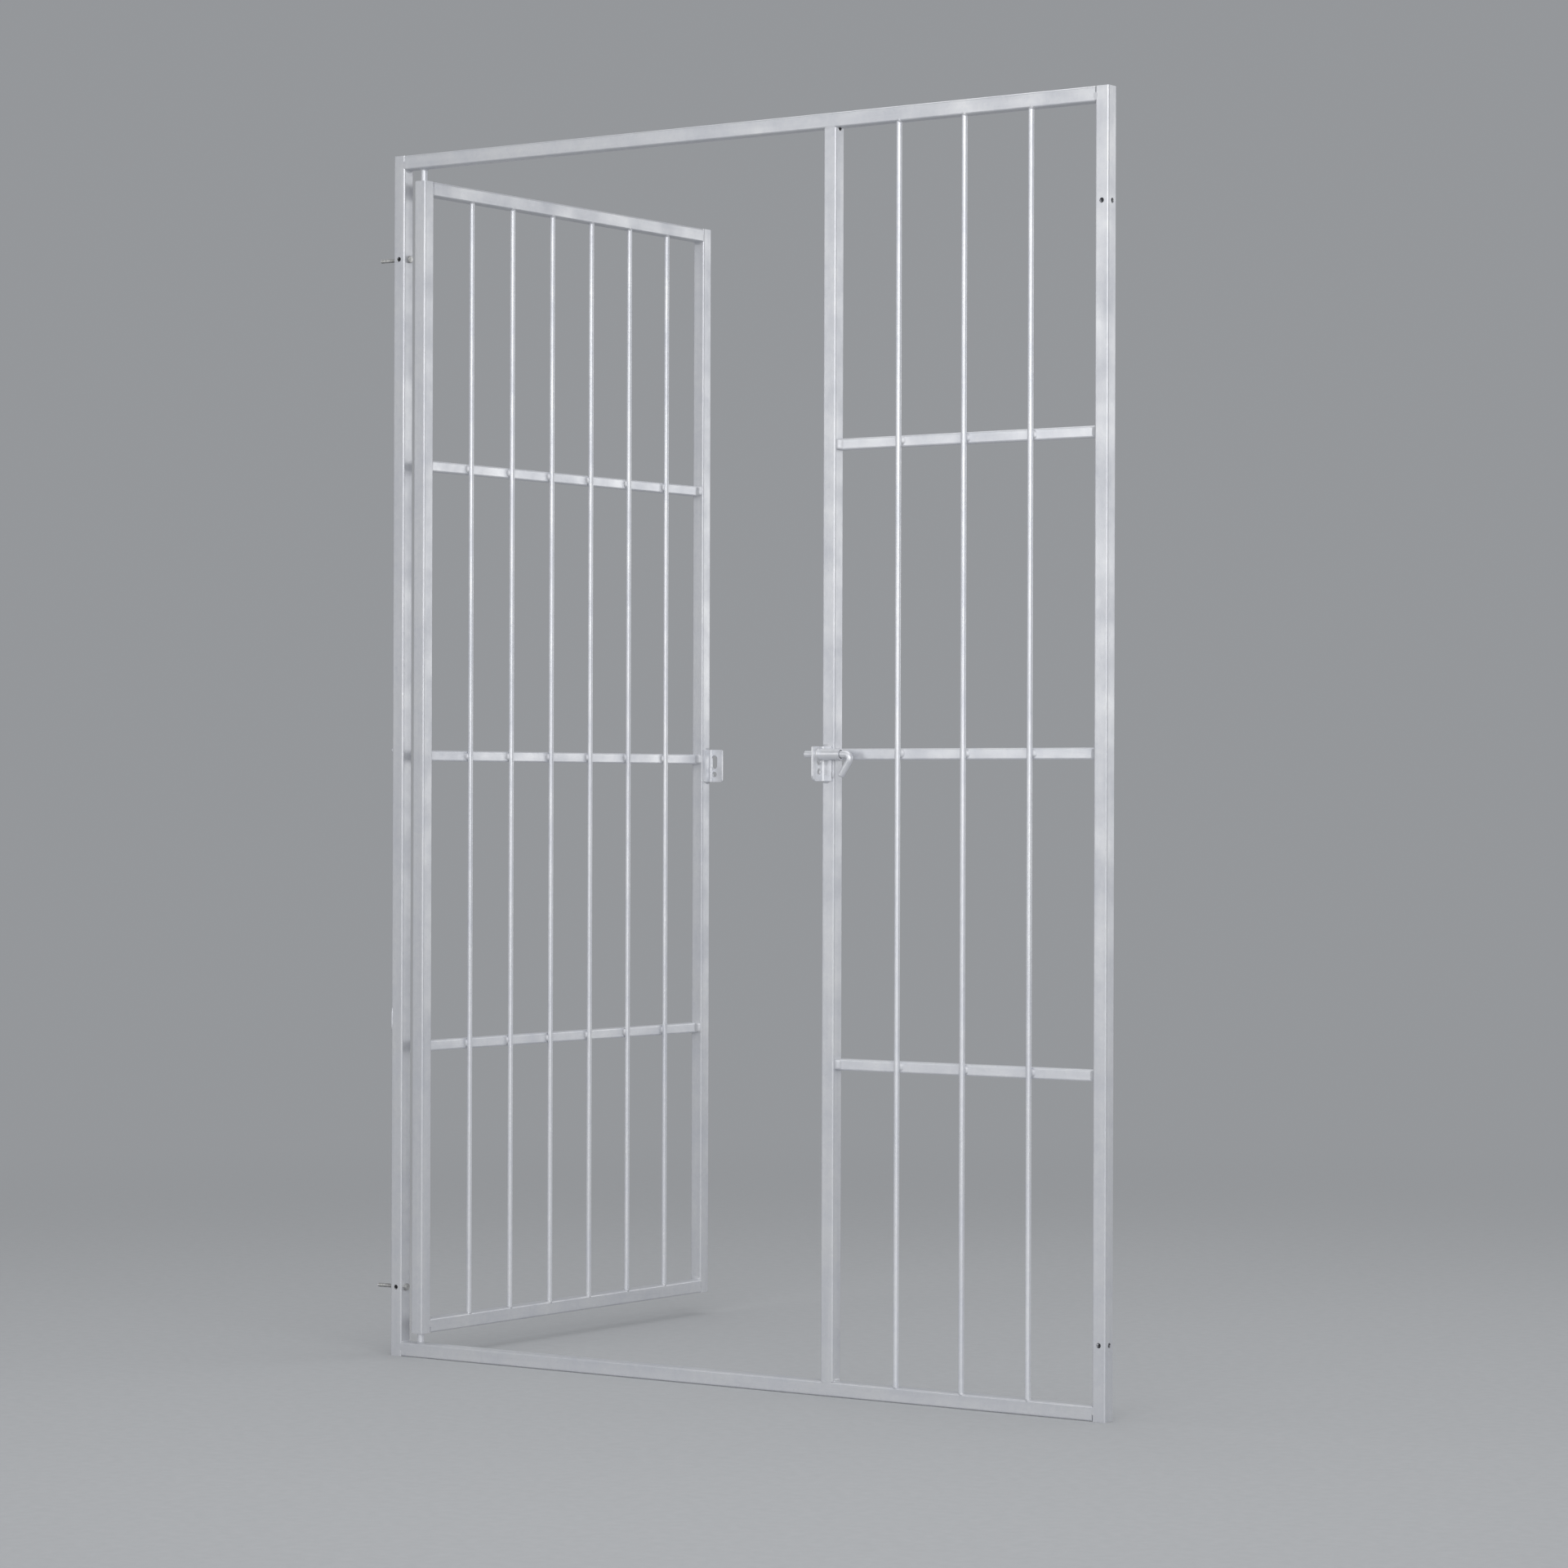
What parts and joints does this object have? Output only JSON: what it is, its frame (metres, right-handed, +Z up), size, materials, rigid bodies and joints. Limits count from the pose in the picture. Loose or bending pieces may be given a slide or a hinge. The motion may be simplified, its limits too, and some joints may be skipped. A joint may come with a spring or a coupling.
{
  "type": "dog kennel gate",
  "caption": "Galvanised square-tube kennel panel with a barred fixed bay and a barred door that swings on pivot pins and is held shut by a hooked slide bolt with padlock holes.",
  "frame": {"origin": "on the door's pivot axis, on the underside of the bottom rail, at ground level", "axes": "+X along the frame from the hinge post to the end post, +Y to the back, the side the door opens to, +Z up"},
  "size_m": [1.283, 0.754, 1.801],
  "materials": {
    "galvanised_steel": "hot-dip galvanised, satin with faint mottling",
    "bright_zinc": "zinc-plated, slightly dulled"
  },
  "bodies": {
    "frame": {"hinge_post": "galvanised_steel", "end_post": "galvanised_steel", "latch_post": "galvanised_steel", "top_rail": "galvanised_steel", "bottom_rail": "galvanised_steel", "bay_rail_upper": "galvanised_steel", "bay_rail_middle": "galvanised_steel", "bay_rail_lower": "galvanised_steel", "bay_rod_1": "galvanised_steel", "bay_rod_2": "galvanised_steel", "bay_rod_3": "galvanised_steel", "hinge_pin_foot": "galvanised_steel", "hinge_pin_head": "galvanised_steel", "post_latch_angle": "galvanised_steel", "bolt_guide": "galvanised_steel", "panel_bolt_upper": "bright_zinc", "panel_bolt_lower": "bright_zinc"},
    "door": {"hinge_stile": "galvanised_steel", "latch_stile": "galvanised_steel", "door_top_rail": "galvanised_steel", "door_bottom_rail": "galvanised_steel", "door_rail_upper": "galvanised_steel", "door_rail_middle": "galvanised_steel", "door_rail_lower": "galvanised_steel", "door_rod_1": "galvanised_steel", "door_rod_2": "galvanised_steel", "door_rod_3": "galvanised_steel", "door_rod_4": "galvanised_steel", "door_rod_5": "galvanised_steel", "door_rod_6": "galvanised_steel", "hinge_bush_foot": "galvanised_steel", "hinge_bush_head": "galvanised_steel", "door_latch_angle": "galvanised_steel"},
    "bolt": {"slide_bolt": "galvanised_steel"}
  },
  "joints": [
    {"name": "door_swing", "type": "hinge", "parent": "frame", "child": "door", "pos_m": [0, 0, 0.9005], "axis": [0, 0, 1], "range_deg": [-90, 35]},
    {"name": "bolt_slide", "type": "slide", "parent": "frame", "child": "bolt", "axis": [-1, 0, 0], "range_m": [-0.027, 0.007]}
  ]
}
